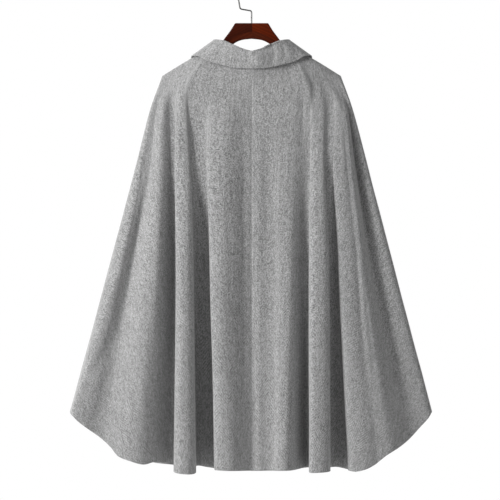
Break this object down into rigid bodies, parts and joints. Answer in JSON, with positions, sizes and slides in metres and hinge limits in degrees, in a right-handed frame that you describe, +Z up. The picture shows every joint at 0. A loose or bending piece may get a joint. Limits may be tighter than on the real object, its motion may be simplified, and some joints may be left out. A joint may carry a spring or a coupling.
{
  "type": "poncho on a hanger",
  "caption": "Knee-length wool cape poncho with a turn-down collar and deep flared folds, hung on a wooden hanger with a cranked wire hook.",
  "frame": {"origin": "the inside top of the hook, where it rests on a rail", "axes": "+Z up, -Y towards the garment's front, +X towards the wearer's left, which is the picture's left because the picture shows the back"},
  "size_m": [0.8663, 0.218, 1.1849],
  "materials": {
    "wool": "grey and white herringbone wool, soft matt nap",
    "mahogany": "dark red-brown stained wood under gloss varnish",
    "steel": "plain bright steel wire"
  },
  "bodies": {
    "root": {"back_left": "wool", "back_right": "wool", "front_left": "wool", "front_right": "wool", "collar_fall": "wool", "collar_stand": "wool", "hanger_wood": "mahogany", "hanger_hook": "steel"}
  },
  "joints": []
}
